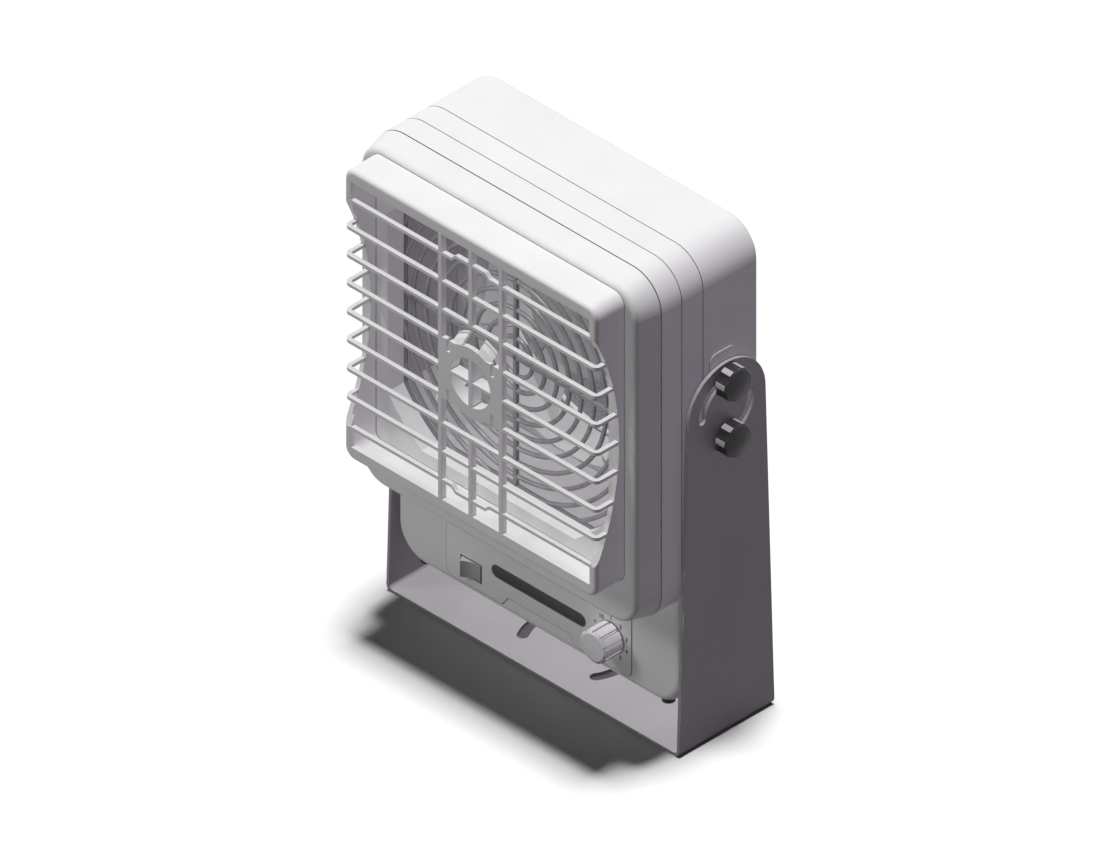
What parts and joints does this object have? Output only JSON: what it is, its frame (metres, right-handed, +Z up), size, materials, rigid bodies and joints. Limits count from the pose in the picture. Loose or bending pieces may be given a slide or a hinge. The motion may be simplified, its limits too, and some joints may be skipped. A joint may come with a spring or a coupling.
{
  "type": "ionizing blower",
  "caption": "Bench-top ionizing air blower: louvred fan head with finger guard, operating panel, and a tilting U-shaped sheet stand with clamp knobs.",
  "frame": {"origin": "middle of the underside of the stand's base, on the axis of its centre hole", "axes": "+Z up, -Y the way the air blows, +X to the right as seen from the front"},
  "size_m": [0.2356, 0.1163, 0.3078],
  "materials": {
    "shell_plastic": "fine grained, off-white",
    "stand_paint": "satin powder coat, mid grey",
    "guard_wire": "satin",
    "duct_plastic": "smooth moulded, light grey",
    "fan_plastic": "smooth moulded, light grey",
    "holder_plastic": "glossy insulator",
    "needle_metal": "ground",
    "steel_parts": "zinc plated",
    "bearing_steel": "polished",
    "stator_iron": "lacquered",
    "brass_inserts": "machined",
    "overlay_film": "printed film, satin",
    "window_tint": "smoked lens",
    "lamp_lens": "diffused",
    "switch_plastic": "dark",
    "dial_plastic": "light grey, satin",
    "clamp_plastic": "black",
    "foam_mat": "open-cell foam",
    "board_laminate": "solder mask",
    "module_resin": "potted",
    "socket_plastic": "black",
    "foot_rubber": "matt"
  },
  "bodies": {
    "stand": {"stand_bracket": "stand_paint"},
    "blower": {"rear_case": "shell_plastic", "front_case": "shell_plastic", "front_cover": "shell_plastic", "louvre": "shell_plastic", "finger_guard": "guard_wire", "air_duct": "duct_plastic", "emitter_holders": "holder_plastic", "emitter_needles": "needle_metal", "fan_frame": "fan_plastic", "fan_bearings": "bearing_steel", "fan_stator": "stator_iron", "fan_screws": "steel_parts", "case_screws": "steel_parts", "inlet_grille": "shell_plastic", "inlet_filter": "foam_mat", "panel_overlay": "overlay_film", "indicator_window": "window_tint", "indicator_leds": "lamp_lens", "rocker_housing": "switch_plastic", "potentiometer": "steel_parts", "control_board": "board_laminate", "high_voltage_module": "module_resin", "power_socket": "socket_plastic", "socket_pins": "brass_inserts", "earth_screw": "steel_parts", "rubber_feet": "foot_rubber", "threaded_inserts_left": "brass_inserts", "threaded_inserts_right": "brass_inserts"},
    "fan_rotor": {"impeller": "fan_plastic", "impeller_shaft": "steel_parts"},
    "airflow_dial": {"airflow_knob": "dial_plastic", "dial_shaft": "steel_parts"},
    "rocker": {"power_rocker": "switch_plastic"},
    "clamp_left_upper": {"clamp_knob_left_upper": "clamp_plastic", "clamp_stud_left_upper": "steel_parts"},
    "clamp_left_lower": {"clamp_knob_left_lower": "clamp_plastic", "clamp_stud_left_lower": "steel_parts"},
    "clamp_right_upper": {"clamp_knob_right_upper": "clamp_plastic", "clamp_stud_right_upper": "steel_parts"},
    "clamp_right_lower": {"clamp_knob_right_lower": "clamp_plastic", "clamp_stud_right_lower": "steel_parts"}
  },
  "joints": [
    {"name": "body_tilt", "type": "hinge", "parent": "stand", "child": "blower", "pos_m": [0, 0, 0.207], "axis": [1, 0, 0], "range_deg": [0, 90]},
    {"name": "fan_spin", "type": "hinge", "parent": "blower", "child": "fan_rotor", "pos_m": [0, 0, 0.2087], "axis": [0, 1, 0], "continuous": true},
    {"name": "airflow_dial_turn", "type": "hinge", "parent": "blower", "child": "airflow_dial", "pos_m": [0.0532, -0.0307, 0.0481], "axis": [0, 1, 0], "range_deg": [0, 324]},
    {"name": "power_rocker_swing", "type": "hinge", "parent": "blower", "child": "rocker", "pos_m": [-0.04985, -0.0287, 0.04], "axis": [0, 0, 1], "range_deg": [-20, 0]},
    {"name": "clamp_left_upper_turn", "type": "hinge", "parent": "blower", "child": "clamp_left_upper", "pos_m": [-0.108, 0, 0.2249], "axis": [-1, 0, 0], "range_deg": [0, 360]},
    {"name": "clamp_left_lower_turn", "type": "hinge", "parent": "blower", "child": "clamp_left_lower", "pos_m": [-0.108, 0, 0.1891], "axis": [-1, 0, 0], "range_deg": [0, 360]},
    {"name": "clamp_right_upper_turn", "type": "hinge", "parent": "blower", "child": "clamp_right_upper", "pos_m": [0.108, 0, 0.2249], "axis": [1, 0, 0], "range_deg": [0, 360]},
    {"name": "clamp_right_lower_turn", "type": "hinge", "parent": "blower", "child": "clamp_right_lower", "pos_m": [0.108, 0, 0.1891], "axis": [1, 0, 0], "range_deg": [0, 360]}
  ]
}
